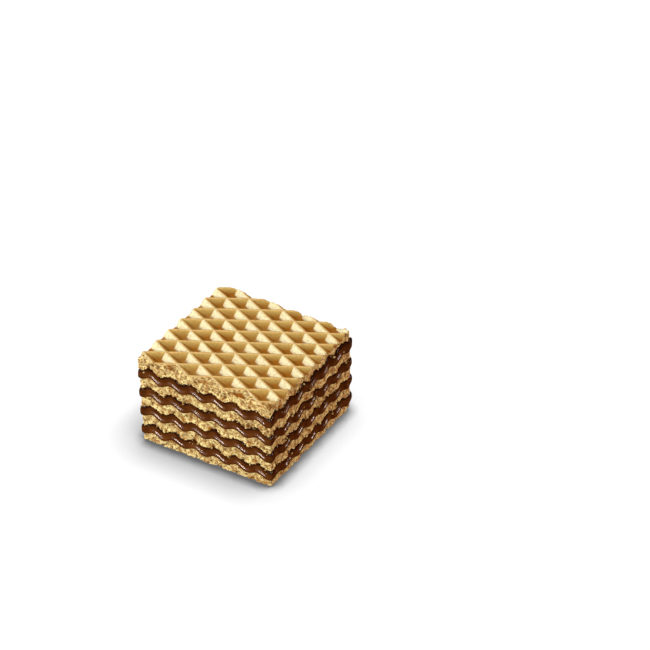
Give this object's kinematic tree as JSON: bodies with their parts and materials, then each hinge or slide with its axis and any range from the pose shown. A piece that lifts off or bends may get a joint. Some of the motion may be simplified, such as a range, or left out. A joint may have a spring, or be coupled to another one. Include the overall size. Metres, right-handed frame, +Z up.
{
  "type": "cream-filled wafer",
  "caption": "Square bite-size wafer biscuit: crisp corrugated wafer sheets with a diamond-pitted top and underside, and chocolate cream layers that bead out along the cut sides.",
  "frame": {"origin": "middle of the underside, on the plane the wafer rests on", "axes": "+Z up through the layers, +X along the front cut side, +Y away from the front side"},
  "size_m": [0.0226, 0.0226, 0.0149],
  "materials": {
    "wafer": "matte baked wafer, porous at the cut sides",
    "cream": "glossy dark chocolate cream"
  },
  "bodies": {
    "root": {"wafer_sheet_1": "wafer", "cream_layer_1": "cream", "wafer_sheet_2": "wafer", "cream_layer_2": "cream", "wafer_sheet_3": "wafer", "cream_layer_3": "cream", "wafer_sheet_4": "wafer", "cream_layer_4": "cream", "wafer_sheet_5": "wafer"}
  },
  "joints": []
}
